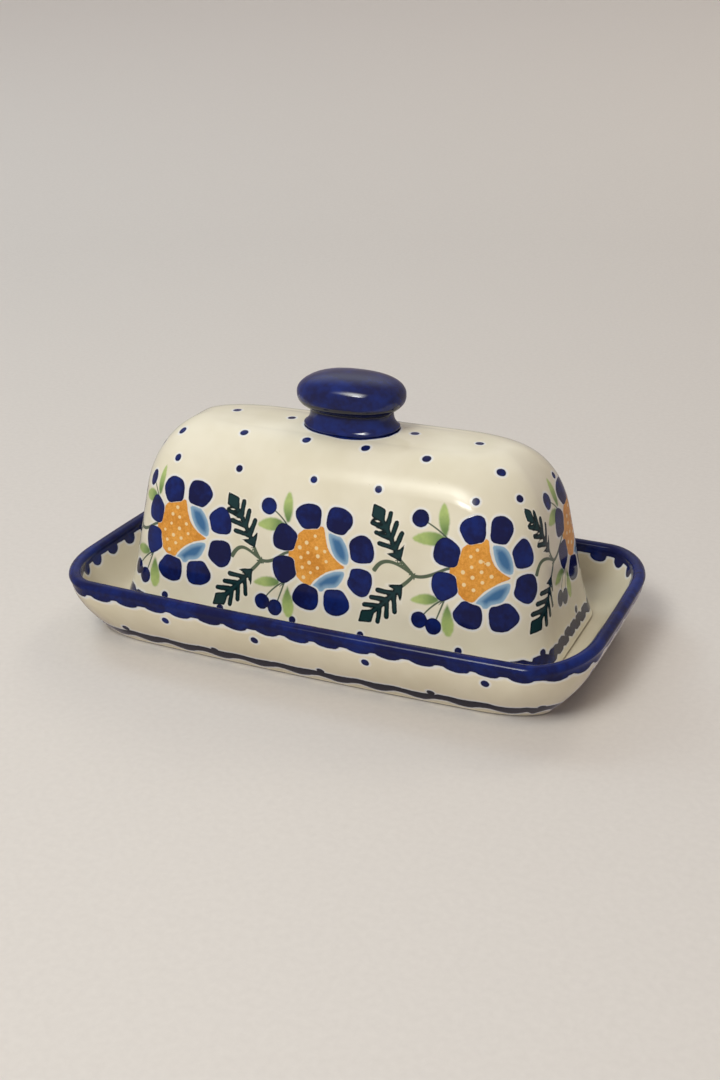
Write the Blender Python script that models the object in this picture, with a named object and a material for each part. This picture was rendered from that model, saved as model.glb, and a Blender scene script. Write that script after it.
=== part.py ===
"""Butter dish: an oblong tray with a rolled rim, a loaf-shaped lid that stands on its floor, and the lid's knob."""

import math

import bmesh
import bpy

MM = 0.001

# Tray, outside. The rim is measured over its bead.
RIM_HALF_LENGTH = 196.85 * MM / 2
RIM_HALF_WIDTH = 107.95 * MM / 2
RIM_HEIGHT = 24.0 * MM
RIM_CORNER = (18.4 * MM, 29.0 * MM)
BASE_HALF_LENGTH = 85.0 * MM
BASE_HALF_WIDTH = 44.3 * MM
BASE_CORNER = (21.0 * MM, 9.0 * MM)
BASE_ROUNDING = 0.8 * MM
SIDE_BOW = 2.2 * MM
WALL_BULGE_OUT = 0.95
WALL_BULGE_UP = 0.58
BEAD_HALF_WIDTH = 2.2 * MM
BEAD_HALF_HEIGHT = 1.9 * MM
BEAD_START = math.radians(-42)
BEAD_END = math.radians(210)

# Tray, inside and underneath.
FLOOR_HEIGHT = 7.7 * MM
WALL_THICKNESS = 4.0 * MM
FLOOR_MARGIN = 3.7 * MM
FLOOR_CORNER = (16.0 * MM, 14.0 * MM)
COVE_REACH = 8.0 * MM
FOOT_WIDTH = 6.2 * MM
FOOT_RECESS = 1.3 * MM

# Lid. It stands on the tray's floor with a hair of air under it.
CLEARANCE = 0.3 * MM
LID_FOOT = FLOOR_HEIGHT + CLEARANCE
LID_TOP = 75.5 * MM
LID_HALF_LENGTH = 82.0 * MM
LID_HALF_WIDTH = 39.3 * MM
LID_CORNER = (22.0 * MM, 19.0 * MM)
LID_BOW = 0.8 * MM
LID_WALL = 4.5 * MM
LID_EDGE_ROUNDING = 0.8 * MM
LID_DRAFT = math.radians(9)
LID_FLARE = 1.2 * MM
LID_FLARE_HEIGHT = 18.0 * MM
SHOULDER_BASE = 42.0 * MM
SHOULDER_REACH = (20.5 * MM, 21.4 * MM)
CROWN = 2.0 * MM
TOP_CORNER_SHRINK = 0.47

# Knob, an oblong mushroom.
KNOB_SQUARENESS = 2.4
HEAD_HALF = (19.0 * MM, 12.9 * MM)
HEAD_HALF_HEIGHT = 7.2 * MM
HEAD_CENTRE = 87.1 * MM
HEAD_UNDERSIDE = math.radians(-36)
NECK_HALF = (14.8 * MM, 9.3 * MM)
NECK_HEIGHT = 80.6 * MM
FOOT_HALF = (17.0 * MM, 10.8 * MM)
FOOT_HEIGHT = 77.4 * MM
KNOB_SINK = 3.0 * MM

# Points round each section, per quarter.
END_STEPS = 2
CORNER_STEPS = 8
SIDE_STEPS = 4
OVAL_STEPS = 9

SHARP_ANGLE = math.radians(50)


def clear_scene():
    for found in list(bpy.data.objects):
        bpy.data.objects.remove(found, do_unlink=True)


def new_collection(name):
    made = bpy.data.collections.new(name)
    bpy.context.scene.collection.children.link(made)
    return made


def glaze(name, colour, roughness):
    material = bpy.data.materials.new(name)
    material.use_nodes = True
    shader = material.node_tree.nodes["Principled BSDF"]
    shader.inputs["Base Color"].default_value = (*colour, 1.0)
    shader.inputs["Roughness"].default_value = roughness
    shader.inputs["Coat Weight"].default_value = 0.5
    return material


def between(start, end, share):
    return start + (end - start) * share


def steps(start, end, count):
    return [between(start, end, i / count) for i in range(count + 1)]


def bezier(start, middle, end, share):
    return between(between(start, middle, share), between(middle, end, share), share)


def rounded_ring(half_x, half_y, corner, bow, height):
    """A round-cornered oblong with slightly bowed sides, anticlockwise from the +X side."""
    corner_x = min(corner[0], 0.95 * half_x)
    corner_y = min(corner[1], 0.95 * half_y)
    quarter = [(half_x, y) for y in steps(0, half_y - corner_y, END_STEPS)[:-1]]
    for angle in steps(0, math.pi / 2, CORNER_STEPS):
        x = half_x - corner_x + corner_x * math.cos(angle)
        y = half_y - corner_y + corner_y * math.sin(angle)
        quarter.append((x, y))
    quarter += [(x, half_y) for x in steps(half_x - corner_x, 0, SIDE_STEPS)[1:]]
    bowed = []
    for x, y in quarter:
        pull_x = bow * half_y / half_x * (y / half_y) ** 2 * x / half_x
        pull_y = bow * (x / half_x) ** 2 * y / half_y
        bowed.append((x - pull_x, y - pull_y))
    left = [(-x, y) for x, y in reversed(bowed)][1:]
    upper = bowed + left
    lower = [(x, -y) for x, y in reversed(upper)][1:-1]
    return [(x, y, height) for x, y in upper + lower]


def oval_ring(half_x, half_y, height):
    """A squarish oval, anticlockwise from the +X side."""
    ring = []
    for i in range(4 * OVAL_STEPS):
        angle = i * math.pi / 2 / OVAL_STEPS
        cosine = math.cos(angle)
        sine = math.sin(angle)
        x = math.copysign(abs(cosine) ** (2 / KNOB_SQUARENESS), cosine) * half_x
        y = math.copysign(abs(sine) ** (2 / KNOB_SQUARENESS), sine) * half_y
        ring.append((x, y, height))
    return ring


def loft(name, first_centre, rings, last_centre, collection):
    """One closed skin through the rings in turn, with a fan of triangles over each end."""
    shape = bmesh.new()
    rows = [[shape.verts.new(point) for point in ring] for ring in rings]
    first = shape.verts.new((0, 0, first_centre))
    last = shape.verts.new((0, 0, last_centre))
    count = len(rows[0])
    for i in range(count):
        after = (i + 1) % count
        shape.faces.new((first, rows[0][after], rows[0][i]))
        shape.faces.new((last, rows[-1][i], rows[-1][after]))
        for low, high in zip(rows, rows[1:]):
            shape.faces.new((low[i], low[after], high[after], high[i]))
    mesh = bpy.data.meshes.new(name)
    shape.to_mesh(mesh)
    shape.free()
    mesh.shade_smooth()
    mesh.set_sharp_from_angle(angle=SHARP_ANGLE)
    made = bpy.data.objects.new(name, mesh)
    collection.objects.link(made)
    return made


def bead_point(angle):
    """How far in from the rim's edge the bead's surface is at this angle, and its height."""
    inwards = BEAD_HALF_WIDTH * (1 - math.cos(angle))
    height = RIM_HEIGHT - BEAD_HALF_HEIGHT + BEAD_HALF_HEIGHT * math.sin(angle)
    return inwards, height


def tray_base_rings():
    rings = []
    for inwards, height in (
        (FOOT_WIDTH + FOOT_RECESS, FOOT_RECESS),
        (FOOT_WIDTH, 0),
        (BASE_ROUNDING, 0),
        (0.3 * BASE_ROUNDING, 0.3 * BASE_ROUNDING),
    ):
        half_x = BASE_HALF_LENGTH - inwards
        half_y = BASE_HALF_WIDTH - inwards
        rings.append(rounded_ring(half_x, half_y, BASE_CORNER, SIDE_BOW, height))
    return rings


def tray_wall_rings():
    inwards, top = bead_point(BEAD_START)
    end_x = RIM_HALF_LENGTH - inwards
    end_y = RIM_HALF_WIDTH - inwards
    middle_x = between(BASE_HALF_LENGTH, end_x, WALL_BULGE_OUT)
    middle_y = between(BASE_HALF_WIDTH, end_y, WALL_BULGE_OUT)
    middle_z = between(BASE_ROUNDING, top, WALL_BULGE_UP)
    rings = []
    for share in steps(0, 1, 8)[:-1]:
        half_x = bezier(BASE_HALF_LENGTH, middle_x, end_x, share)
        half_y = bezier(BASE_HALF_WIDTH, middle_y, end_y, share)
        corner_x = between(BASE_CORNER[0], RIM_CORNER[0], share)
        corner_y = between(BASE_CORNER[1], RIM_CORNER[1], share)
        height = bezier(BASE_ROUNDING, middle_z, top, share)
        rings.append(rounded_ring(half_x, half_y, (corner_x, corner_y), SIDE_BOW, height))
    return rings


def tray_bead_rings():
    rings = []
    for angle in steps(BEAD_START, BEAD_END, 9):
        inwards, height = bead_point(angle)
        half_x = RIM_HALF_LENGTH - inwards
        half_y = RIM_HALF_WIDTH - inwards
        corner = (RIM_CORNER[0] - inwards, RIM_CORNER[1] - inwards)
        rings.append(rounded_ring(half_x, half_y, corner, SIDE_BOW, height))
    return rings


def tray_inside_rings():
    inwards, top = bead_point(BEAD_START)
    start_inwards = inwards + WALL_THICKNESS
    start_x = RIM_HALF_LENGTH - start_inwards
    start_y = RIM_HALF_WIDTH - start_inwards
    end_x = BASE_HALF_LENGTH - FLOOR_MARGIN
    end_y = BASE_HALF_WIDTH - FLOOR_MARGIN
    rings = []
    for share in steps(0, 1, 7):
        half_x = bezier(start_x, end_x + COVE_REACH, end_x, share)
        half_y = bezier(start_y, end_y + COVE_REACH, end_y, share)
        corner_x = between(RIM_CORNER[0] - start_inwards, FLOOR_CORNER[0], share)
        corner_y = between(RIM_CORNER[1] - start_inwards, FLOOR_CORNER[1], share)
        height = bezier(top, FLOOR_HEIGHT, FLOOR_HEIGHT, share)
        rings.append(rounded_ring(half_x, half_y, (corner_x, corner_y), SIDE_BOW, height))
    return rings


def make_tray(collection):
    rings = tray_base_rings() + tray_wall_rings() + tray_bead_rings() + tray_inside_rings()
    tray = loft("tray", FOOT_RECESS, rings, FLOOR_HEIGHT, collection)
    tray.data.materials.append(glaze("tray_glaze", (0.76, 0.71, 0.58), 0.2))


def lid_wall_inset(height):
    """How far the lid's wall has drawn in at this height."""
    risen = height - LID_FOOT
    flare = 1 - (1 - min(1, risen / LID_FLARE_HEIGHT)) ** 2
    return risen * math.tan(LID_DRAFT) + LID_FLARE * flare


def lid_skin(depth):
    """The lid's rings from above its foot up to its crown, this far under its outer face."""
    rise = LID_TOP - CROWN - SHOULDER_BASE
    start = math.atan(math.tan(LID_DRAFT) * rise / SHOULDER_REACH[0])
    wall_top = SHOULDER_BASE + rise * math.sin(start)
    full_x = LID_HALF_LENGTH - lid_wall_inset(SHOULDER_BASE)
    rings = []
    for height in steps(LID_FOOT + LID_EDGE_ROUNDING, wall_top, 5):
        inwards = lid_wall_inset(height) + depth
        half_x = LID_HALF_LENGTH - inwards
        half_y = LID_HALF_WIDTH - inwards
        rings.append(rounded_ring(half_x, half_y, LID_CORNER, LID_BOW, height))
    for angle in steps(start, math.pi / 2, 8)[1:]:
        turned = math.cos(start) - math.cos(angle)
        outer_x = LID_HALF_LENGTH - lid_wall_inset(wall_top) - SHOULDER_REACH[0] * turned
        outer_y = LID_HALF_WIDTH - lid_wall_inset(wall_top) - SHOULDER_REACH[1] * turned
        lift = CROWN * (1 - (outer_x / full_x) ** 2)
        height = SHOULDER_BASE + (rise - depth) * math.sin(angle) + lift
        half_x = outer_x - depth * math.cos(angle)
        half_y = outer_y - depth * math.cos(angle)
        corner = (LID_CORNER[0], LID_CORNER[1] - TOP_CORNER_SHRINK * SHOULDER_REACH[1] * turned)
        rings.append(rounded_ring(half_x, half_y, corner, LID_BOW, height))
    for share in (0.75, 0.45):
        lift = CROWN * (1 - (share * outer_x / full_x) ** 2)
        shrunk = (corner[0] * share, corner[1] * share)
        height = SHOULDER_BASE + rise - depth + lift
        rings.append(rounded_ring(half_x * share, half_y * share, shrunk, LID_BOW * share, height))
    return rings


def lid_foot_ring(inwards):
    half_x = LID_HALF_LENGTH - inwards
    half_y = LID_HALF_WIDTH - inwards
    return rounded_ring(half_x, half_y, LID_CORNER, LID_BOW, LID_FOOT)


def make_lid_shell(collection):
    inside = list(reversed(lid_skin(LID_WALL)))
    edge = [lid_foot_ring(LID_WALL - LID_EDGE_ROUNDING), lid_foot_ring(LID_EDGE_ROUNDING)]
    rings = inside + edge + lid_skin(0)
    shell = loft("lid_shell", LID_TOP - LID_WALL, rings, LID_TOP, collection)
    shell.data.materials.append(glaze("lid_glaze", (0.78, 0.73, 0.60), 0.2))


def make_lid_cutter(collection):
    """The lid's outer face as a solid, raised by the gap that is left under the knob."""
    rings = [lid_foot_ring(LID_EDGE_ROUNDING)] + lid_skin(0)
    cutter = loft("lid_cutter", LID_FOOT, rings, LID_TOP, collection)
    cutter.location.z = CLEARANCE
    cutter.hide_render = True
    cutter.display_type = "WIRE"
    return cutter


def knob_rings():
    rings = [oval_ring(FOOT_HALF[0] - MM, FOOT_HALF[1] - MM, LID_TOP - KNOB_SINK)]
    neck_top = HEAD_CENTRE + HEAD_HALF_HEIGHT * math.sin(HEAD_UNDERSIDE)
    for share in steps(0, 1, 5):
        swell = math.cos(share * math.pi / 2) ** 2
        half_x = between(NECK_HALF[0], FOOT_HALF[0], swell)
        half_y = between(NECK_HALF[1], FOOT_HALF[1], swell)
        rings.append(oval_ring(half_x, half_y, between(FOOT_HEIGHT, NECK_HEIGHT, share)))
    rings.append(oval_ring(*NECK_HALF, between(NECK_HEIGHT, neck_top, 0.6)))
    for angle in steps(HEAD_UNDERSIDE, math.pi / 2, 11)[:-1]:
        half_x = HEAD_HALF[0] * math.cos(angle)
        half_y = HEAD_HALF[1] * math.cos(angle)
        rings.append(oval_ring(half_x, half_y, HEAD_CENTRE + HEAD_HALF_HEIGHT * math.sin(angle)))
    return rings


def make_lid_knob(collection, cutter):
    top = HEAD_CENTRE + HEAD_HALF_HEIGHT
    knob = loft("lid_knob", LID_TOP - KNOB_SINK, knob_rings(), top, collection)
    knob.data.materials.append(glaze("knob_glaze", (0.02, 0.025, 0.12), 0.12))
    trim = knob.modifiers.new("fit_to_crown", "BOOLEAN")
    trim.operation = "DIFFERENCE"
    trim.solver = "EXACT"
    trim.object = cutter


def main():
    clear_scene()
    parts = new_collection("butter_dish")
    cutters = new_collection("cutters")
    make_tray(parts)
    make_lid_shell(parts)
    make_lid_knob(parts, make_lid_cutter(cutters))
    cutters.hide_render = True


main()
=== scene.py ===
"""Looks of the butter dish: a glazed tray with a rolled cobalt rim, its lid, and the lid's knob.

The meshes follow the CAD's sections at a finer pitch. The painted decoration is worked out as
signed distances in millimetres from each painted shape, kept on the meshes' points, and the
glaze materials turn them into crisp edges.
"""

import math
import random

import bpy
import numpy as np
from mathutils import Matrix, Vector
from mathutils.bvhtree import BVHTree


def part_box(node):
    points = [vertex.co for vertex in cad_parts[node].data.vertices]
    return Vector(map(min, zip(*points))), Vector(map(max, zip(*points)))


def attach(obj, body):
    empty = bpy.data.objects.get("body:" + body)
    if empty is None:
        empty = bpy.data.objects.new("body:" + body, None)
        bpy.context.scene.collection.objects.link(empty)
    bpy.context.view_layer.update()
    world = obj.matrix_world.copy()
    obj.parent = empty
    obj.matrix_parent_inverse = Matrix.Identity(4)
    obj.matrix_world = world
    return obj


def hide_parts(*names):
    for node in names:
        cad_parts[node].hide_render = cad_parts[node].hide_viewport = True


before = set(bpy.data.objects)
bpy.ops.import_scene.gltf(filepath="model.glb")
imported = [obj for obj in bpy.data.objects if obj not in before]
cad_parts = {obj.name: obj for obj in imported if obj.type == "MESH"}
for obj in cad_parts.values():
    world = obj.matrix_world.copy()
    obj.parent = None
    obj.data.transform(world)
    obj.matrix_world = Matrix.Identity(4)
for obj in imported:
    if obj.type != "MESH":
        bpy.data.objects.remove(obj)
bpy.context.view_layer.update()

MM = 0.001
FAR = 20.0
_, TRAY_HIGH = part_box("tray")
LID_LOW, LID_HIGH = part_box("lid_shell")
_, KNOB_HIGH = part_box("lid_knob")

# Points round a quarter of each section: along the end, round the corner, along the side.
TRAY_COUNTS = (33, 50, 106)
LID_COUNTS = (29, 46, 86)
KNOB_COUNT = 176

# Tray.
RIM_HALF = (TRAY_HIGH.x, TRAY_HIGH.y)
RIM_HEIGHT = TRAY_HIGH.z
RIM_CORNER = (18.4 * MM, 29.0 * MM)
BASE_HALF = (85.0 * MM, 44.3 * MM)
BASE_CORNER = (21.0 * MM, 9.0 * MM)
BASE_ROUNDING = 0.8 * MM
SIDE_BOW = 2.2 * MM
WALL_BULGE_OUT = 0.95
WALL_BULGE_UP = 0.58
BEAD_HALF_WIDTH = 2.2 * MM
BEAD_HALF_HEIGHT = 1.9 * MM
BEAD_START = math.radians(-42)
BEAD_END = math.radians(210)
FLOOR_HEIGHT = 7.7 * MM
WALL_THICKNESS = 4.0 * MM
FLOOR_MARGIN = 3.7 * MM
FLOOR_CORNER = (16.0 * MM, 14.0 * MM)
COVE_REACH = 8.0 * MM
FOOT_WIDTH = 6.2 * MM
FOOT_RECESS = 1.3 * MM

# The tray's painted marks, in millimetres. The band under the bead is (outside, inside).
TRAY_DOT = 1.4
RIM_BAND = (1.3, 0.9)
SCALLOP_PITCH = 10.9
WAVE_PITCH = 14.6
WAVE_HEIGHT = 3.8
WAVE_HALF_WIDTH = 1.65

# Lid.
LID_FOOT = LID_LOW.z
LID_TOP = LID_HIGH.z
LID_HALF = (LID_HIGH.x, LID_HIGH.y)
LID_CORNER = (22.0 * MM, 19.0 * MM)
LID_BOW = 0.8 * MM
LID_WALL = 4.5 * MM
LID_EDGE_ROUNDING = 0.8 * MM
LID_DRAFT = math.radians(9)
LID_FLARE = 1.2 * MM
LID_FLARE_HEIGHT = 18.0 * MM
SHOULDER_BASE = 42.0 * MM
SHOULDER_REACH = (20.5 * MM, 21.4 * MM)
CROWN = 2.0 * MM
TOP_CORNER_SHRINK = 0.47

# The ring of the lid's outside that distances round it are measured on.
LID_REFERENCE_ROW = 36

# The lid's painted marks, in millimetres. A stroke is worked out this far past its path.
LID_DOT = 1.35
CHAIN_PITCH = 6.5
CHAIN_HEIGHT = 4.4
PATH_MARGIN = 4

# Knob.
KNOB_SQUARENESS = 2.4
HEAD_HALF = (KNOB_HIGH.x, KNOB_HIGH.y)
HEAD_HALF_HEIGHT = 7.2 * MM
HEAD_CENTRE = KNOB_HIGH.z - HEAD_HALF_HEIGHT
HEAD_DEPTH_BELOW = 7.0 * MM
HEAD_UNDERSIDE = math.radians(-43)
HEAD_FULLNESS = (2.6, 2.3)
NECK_HALF = (14.7 * MM, 9.3 * MM)
NECK_HEIGHT = 81.3 * MM
KNOB_FOOT_HALF = (17.0 * MM, 10.5 * MM)
KNOB_FOOT_LIP = 1.5 * MM


def between(start, end, share):
    return start + (end - start) * share


def bezier(start, middle, end, share):
    return between(between(start, middle, share), between(middle, end, share), share)


def inset(half, inwards):
    return half[0] - inwards, half[1] - inwards


def rounded_ring(half, corner, bow, height, counts):
    """A round-cornered oblong with slightly bowed sides, anticlockwise from the +X side."""
    half_x, half_y = half
    end_count, corner_count, side_count = counts
    end = np.linspace(0, half_y - corner[1], end_count, endpoint=False)
    turn = np.linspace(0, math.pi / 2, corner_count)
    side = np.linspace(half_x - corner[0], 0, side_count + 1)[1:]
    corner_x = half_x - corner[0] + corner[0] * np.cos(turn)
    corner_y = half_y - corner[1] + corner[1] * np.sin(turn)
    x = np.concatenate([np.full(end_count, half_x), corner_x, side])
    y = np.concatenate([end, corner_y, np.full(side_count, half_y)])
    pull_x = bow * half_y / half_x * (y / half_y) ** 2 * x / half_x
    pull_y = bow * (x / half_x) ** 2 * y / half_y
    x = x - pull_x
    y = y - pull_y
    x = np.concatenate([x, -x[-2::-1]])
    y = np.concatenate([y, y[-2::-1]])
    x = np.concatenate([x, x[-2:0:-1]])
    y = np.concatenate([y, -y[-2:0:-1]])
    return np.stack([x, y, np.full(len(x), height)], axis=1)


def tray_ring(half, corner, height, bow=SIDE_BOW):
    return rounded_ring(half, corner, bow, height, TRAY_COUNTS)


def lid_ring(half, corner, height, bow=LID_BOW):
    return rounded_ring(half, corner, bow, height, LID_COUNTS)


def oval_ring(half_x, half_y, height):
    """A squarish oval, anticlockwise from the +X side."""
    angle = np.arange(KNOB_COUNT) * 2 * math.pi / KNOB_COUNT
    cosine = np.cos(angle)
    sine = np.sin(angle)
    power = 2 / KNOB_SQUARENESS
    x = np.sign(cosine) * np.abs(cosine) ** power * half_x
    y = np.sign(sine) * np.abs(sine) ** power * half_y
    return np.stack([x, y, np.full(KNOB_COUNT, height)], axis=1)


# Tray sections, in the order of a walk from under the foot, over the bead and down to the floor.


def bead_point(angle):
    inwards = BEAD_HALF_WIDTH * (1 - math.cos(angle))
    height = RIM_HEIGHT - BEAD_HALF_HEIGHT + BEAD_HALF_HEIGHT * math.sin(angle)
    return inwards, height


def tray_underside_rings():
    """The glazed recess, the raw foot ring and the round edge where the wall starts."""
    places = []
    for share in (9.0, 5.0, 2.5, 1.4, 1.1):
        places.append((share * (FOOT_WIDTH + FOOT_RECESS), FOOT_RECESS))
    for turn in np.linspace(0, math.pi / 2, 5):
        inwards = FOOT_WIDTH + FOOT_RECESS * (1 - math.sin(turn))
        places.append((inwards, FOOT_RECESS * math.cos(turn)))
    for share in (0.8, 0.6, 0.4, 0.2):
        places.append((between(BASE_ROUNDING, FOOT_WIDTH, share), 0))
    for turn in np.linspace(0, math.pi / 2, 5)[:-1]:
        inwards = BASE_ROUNDING * (1 - math.sin(turn))
        places.append((inwards, BASE_ROUNDING * (1 - math.cos(turn))))
    rings = []
    for inwards, height in places:
        half_x, half_y = inset(BASE_HALF, inwards)
        half_y = max(half_y, 0.1 * BASE_HALF[1])
        corner = (min(BASE_CORNER[0], 0.9 * half_x), min(BASE_CORNER[1], 0.9 * half_y))
        bow = SIDE_BOW * half_y / BASE_HALF[1]
        rings.append(tray_ring((half_x, half_y), corner, height, bow))
    return rings


def swept_rings(shares, start, middle, end, corners):
    """Rings along a Bezier profile, whose places are (half length, half width, height)."""
    rings = []
    for share in shares:
        half_x, half_y, height = (bezier(*places, share) for places in zip(start, middle, end))
        corner = tuple(between(low, high, share) for low, high in zip(*corners))
        rings.append(tray_ring((half_x, half_y), corner, height))
    return rings


def tray_wall_rings(count):
    inwards, top = bead_point(BEAD_START)
    start = (*BASE_HALF, BASE_ROUNDING)
    end = (*inset(RIM_HALF, inwards), top)
    bulge = (WALL_BULGE_OUT, WALL_BULGE_OUT, WALL_BULGE_UP)
    middle = [between(*places) for places in zip(start, end, bulge)]
    shares = np.linspace(0, 1, count, endpoint=False)
    return swept_rings(shares, start, middle, end, (BASE_CORNER, RIM_CORNER))


def tray_bead_rings(count):
    rings = []
    for angle in np.linspace(BEAD_START, BEAD_END, count):
        inwards, height = bead_point(angle)
        rings.append(tray_ring(inset(RIM_HALF, inwards), inset(RIM_CORNER, inwards), height))
    return rings


def tray_inside_rings(shares):
    inwards, top = bead_point(BEAD_START)
    inwards += WALL_THICKNESS
    start = (*inset(RIM_HALF, inwards), top)
    middle = (*inset(BASE_HALF, FLOOR_MARGIN - COVE_REACH), FLOOR_HEIGHT)
    end = (*inset(BASE_HALF, FLOOR_MARGIN), FLOOR_HEIGHT)
    return swept_rings(shares, start, middle, end, (inset(RIM_CORNER, inwards), FLOOR_CORNER))


def tray_floor_rings():
    rings = []
    for inwards in (4.0 * MM, 10.0 * MM, 18.0 * MM, 26.0 * MM, 34.0 * MM):
        half = inset(BASE_HALF, FLOOR_MARGIN + inwards)
        shrink = half[1] / (BASE_HALF[1] - FLOOR_MARGIN)
        corner = (FLOOR_CORNER[0] * shrink, FLOOR_CORNER[1] * shrink)
        rings.append(tray_ring(half, corner, FLOOR_HEIGHT, SIDE_BOW * shrink))
    return rings


# Lid sections.


def lid_wall_inset(height):
    """How far the lid's wall has drawn in at this height."""
    risen = height - LID_FOOT
    flare = 1 - (1 - min(1, risen / LID_FLARE_HEIGHT)) ** 2
    return risen * math.tan(LID_DRAFT) + LID_FLARE * flare


def lid_skin(depth, wall_count, shoulder_count, crown_count):
    """The lid's rings from above its foot up to its crown, this far under its outer face."""
    rise = LID_TOP - CROWN - SHOULDER_BASE
    start = math.atan(math.tan(LID_DRAFT) * rise / SHOULDER_REACH[0])
    wall_top = SHOULDER_BASE + rise * math.sin(start)
    full_x = LID_HALF[0] - lid_wall_inset(SHOULDER_BASE)
    rings = []
    for height in np.linspace(LID_FOOT + LID_EDGE_ROUNDING, wall_top, wall_count):
        rings.append(lid_ring(inset(LID_HALF, lid_wall_inset(height) + depth), LID_CORNER, height))
    for angle in np.linspace(start, math.pi / 2, shoulder_count)[1:]:
        turned_in = math.cos(start) - math.cos(angle)
        outer_x, outer_y = inset(LID_HALF, lid_wall_inset(wall_top))
        outer_x -= SHOULDER_REACH[0] * turned_in
        outer_y -= SHOULDER_REACH[1] * turned_in
        lift = CROWN * (1 - (outer_x / full_x) ** 2)
        height = SHOULDER_BASE + (rise - depth) * math.sin(angle) + lift
        half = inset((outer_x, outer_y), depth * math.cos(angle))
        corner = (LID_CORNER[0], LID_CORNER[1] - TOP_CORNER_SHRINK * SHOULDER_REACH[1] * turned_in)
        rings.append(lid_ring(half, corner, height))
    for share in np.linspace(1, 0, crown_count + 1)[1:-1]:
        lift = CROWN * (1 - (share * outer_x / full_x) ** 2)
        shrunk = (corner[0] * share, corner[1] * share)
        height = SHOULDER_BASE + rise - depth + lift
        rings.append(lid_ring((half[0] * share, half[1] * share), shrunk, height, LID_BOW * share))
    return rings


def lid_edge_rings():
    """The rounded foot of the lid's wall, from the inside to the outside."""
    inner = LID_WALL - LID_EDGE_ROUNDING
    quarter = np.linspace(0, math.pi / 2, 5)
    places = [(inner, turn) for turn in quarter[1:]]
    places += [(LID_EDGE_ROUNDING, turn + math.pi / 2) for turn in quarter[:-1]]
    rings = []
    for middle, turn in places:
        inwards = middle + LID_EDGE_ROUNDING * math.cos(turn)
        height = LID_FOOT + LID_EDGE_ROUNDING * (1 - math.sin(turn))
        rings.append(lid_ring(inset(LID_HALF, inwards), LID_CORNER, height))
    return rings


# Meshes.


def gentle_waves(points, seed, size):
    """The slow unevenness of a hand-finished casting, as a height in or out at each point."""
    draw = random.Random(seed)
    total = np.zeros(len(points))
    for _ in range(5):
        direction = np.array([draw.uniform(-1, 1) for _ in range(3)])
        direction = direction / np.linalg.norm(direction) * draw.uniform(60, 150)
        total += np.sin(points @ direction + draw.uniform(0, 6.3))
    return total * size / 5


def skin(name, rings, first_centre, last_centre, unevenness=0.0, seed=0):
    """One closed mesh through the rings, fanned shut at both ends, and its points as a grid."""
    grid = np.array(rings)
    rows, count = grid.shape[:2]
    if unevenness:
        along = np.roll(grid, -1, axis=1) - np.roll(grid, 1, axis=1)
        upward = np.gradient(grid, axis=0)
        outwards = np.cross(along, upward)
        outwards /= np.linalg.norm(outwards, axis=2, keepdims=True) + 1e-12
        waves = gentle_waves(grid.reshape(-1, 3), seed, unevenness).reshape(rows, count, 1)
        grid = grid + outwards * waves
    points = np.concatenate([grid.reshape(-1, 3), [first_centre, last_centre]])
    here = np.arange(count)
    after = (here + 1) % count
    quads = []
    for row in range(rows - 1):
        low = row * count
        high = low + count
        quads.append(np.stack([low + here, low + after, high + after, high + here], axis=1))
    faces = np.concatenate(quads).tolist()
    first = rows * count
    top = first - count
    faces += np.stack([np.full(count, first), after, here], axis=1).tolist()
    faces += np.stack([np.full(count, first + 1), top + here, top + after], axis=1).tolist()
    mesh = bpy.data.meshes.new(name)
    mesh.from_pydata(points.tolist(), [], faces)
    mesh.shade_smooth()
    made = bpy.data.objects.new(name, mesh)
    bpy.context.scene.collection.objects.link(made)
    return made, grid


def store(piece, name, values):
    """Keeps a number or a vector at each of the piece's points. The fan centres take FAR."""
    mesh = piece.data
    kind, key = ("FLOAT_VECTOR", "vector") if values.ndim == 2 else ("FLOAT", "value")
    filler = np.full((len(mesh.vertices) - len(values), *values.shape[1:]), FAR)
    attribute = mesh.attributes.new(name, kind, "POINT")
    attribute.data.foreach_set(key, np.concatenate([values, filler]).ravel())


# The painter's brush: distances in millimetres to shapes drawn on the unrolled wall.


def segment_distance(x, y, start, end):
    """How far each place is from a straight segment, and its share along the segment."""
    run_x = end[0] - start[0]
    run_y = end[1] - start[1]
    along = (x - start[0]) * run_x + (y - start[1]) * run_y
    share = np.clip(along / (run_x**2 + run_y**2), 0, 1)
    return np.hypot(x - start[0] - share * run_x, y - start[1] - share * run_y), share


def outline_distance(x, y, outline):
    """Signed distance to a closed outline, negative inside it."""
    nearest = np.full(x.shape, np.inf)
    inside = np.zeros(x.shape, bool)
    for start, end in zip(outline, outline[1:] + outline[:1]):
        gap, _ = segment_distance(x, y, start, end)
        nearest = np.minimum(nearest, gap)
        if start[1] != end[1]:
            crosses = (start[1] > y) != (end[1] > y)
            slope = (end[0] - start[0]) / (end[1] - start[1])
            inside ^= crosses & (x < start[0] + (y - start[1]) * slope)
    return np.where(inside, -nearest, nearest)


def softened(outline, rounds=2):
    """The outline with its corners cut again and again, as a loaded brush leaves them."""
    for _ in range(rounds):
        cut = []
        for (ax, ay), (bx, by) in zip(outline, outline[1:] + outline[:1]):
            cut.append((between(ax, bx, 0.25), between(ay, by, 0.25)))
            cut.append((between(ax, bx, 0.75), between(ay, by, 0.75)))
        outline = cut
    return outline


def curve(points, count=12):
    """Points along a Bezier curve through its first and last control points."""
    controls = np.array(points, float)
    made = []
    for share in np.linspace(0, 1, count):
        level = controls
        while len(level) > 1:
            level = between(level[:-1], level[1:], share)
        made.append(tuple(level[0]))
    return made


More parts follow.
